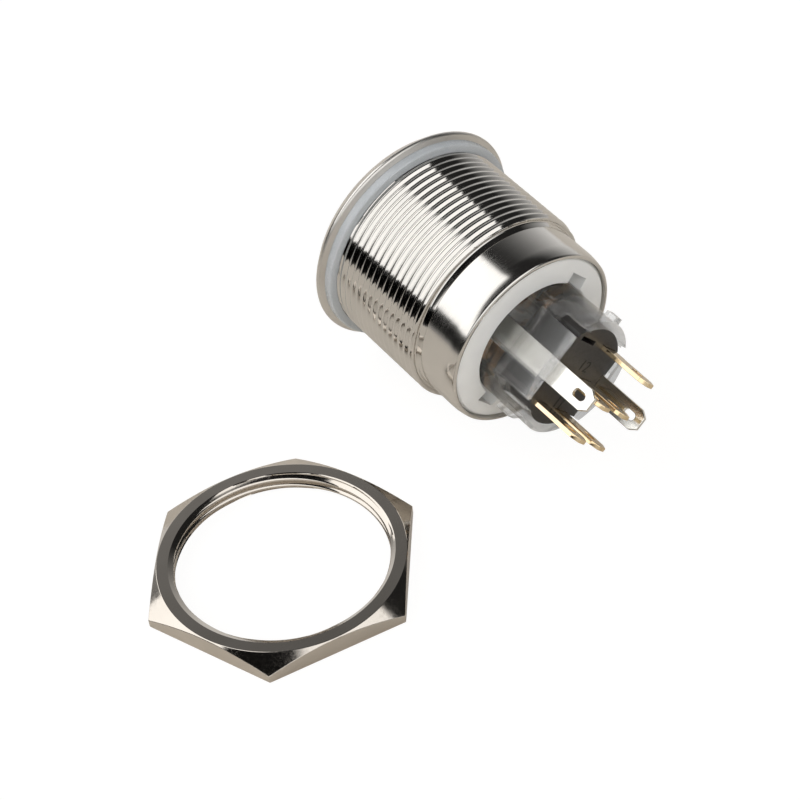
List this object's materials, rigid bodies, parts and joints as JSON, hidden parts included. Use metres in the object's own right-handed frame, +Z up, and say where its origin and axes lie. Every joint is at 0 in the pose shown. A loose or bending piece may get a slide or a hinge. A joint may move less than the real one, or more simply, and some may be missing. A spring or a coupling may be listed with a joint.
{
  "type": "anti-vandal push button switch",
  "caption": "Illuminated metal push button switch for a threaded panel hole: flanged barrel, ring-lit cap, clear inner housing with solder blades, and its hexagon panel nut taken off beside it.",
  "frame": {"origin": "on the barrel's axis, at the gasket face that meets the panel", "axes": "+Y along the barrel's axis to the rear, where the nut and the wires go on; +Z up as it lies"},
  "size_m": [0.0666, 0.0407, 0.0282],
  "materials": {
    "nickel_barrel": "bright nickel plate, finely turned",
    "nickel_nut": "nickel plate on turned brass",
    "button_metal": "satin turned face",
    "silicone": "translucent silicone",
    "seal_rubber": "black nitrile",
    "spring_steel": "bright spring steel",
    "milky_plastic": "milky light guide",
    "board": "coated circuit board",
    "diode": "moulded diode body",
    "white_plastic": "off-white moulded plastic",
    "contact_bronze": "contact bronze",
    "clear_plastic": "clear polycarbonate",
    "black_plastic": "black moulded thermoset",
    "gold_blade": "gold plate",
    "tin_blade": "tin plate"
  },
  "bodies": {
    "switch": {"barrel": "nickel_barrel", "hex_nut": "nickel_nut", "flange_gasket": "silicone", "lens_seal": "seal_rubber", "light_ring": "milky_plastic", "lamp_board": "board", "lamp_diodes": "diode", "return_spring": "spring_steel", "inner_housing": "clear_plastic", "retaining_ring": "white_plastic", "contact_base": "black_plastic", "contact_blade_1": "gold_blade", "contact_blade_2": "gold_blade", "contact_blade_3": "gold_blade", "contact_blade_4": "gold_blade", "contact_blade_5": "gold_blade", "lamp_blade_near": "tin_blade", "lamp_blade_far": "tin_blade"},
    "button": {"button_cap": "button_metal", "button_seal": "seal_rubber", "button_clip": "spring_steel", "plunger": "white_plastic", "contact_bridge_near": "contact_bronze", "contact_bridge_far": "contact_bronze", "contact_spring_near": "spring_steel", "contact_spring_far": "spring_steel"}
  },
  "joints": [
    {"name": "button_press", "type": "slide", "parent": "switch", "child": "button", "axis": [0, 1, 0], "range_m": [0, 0.0022], "stiffness_N_per_m": 800, "springref_m": -0.003}
  ]
}
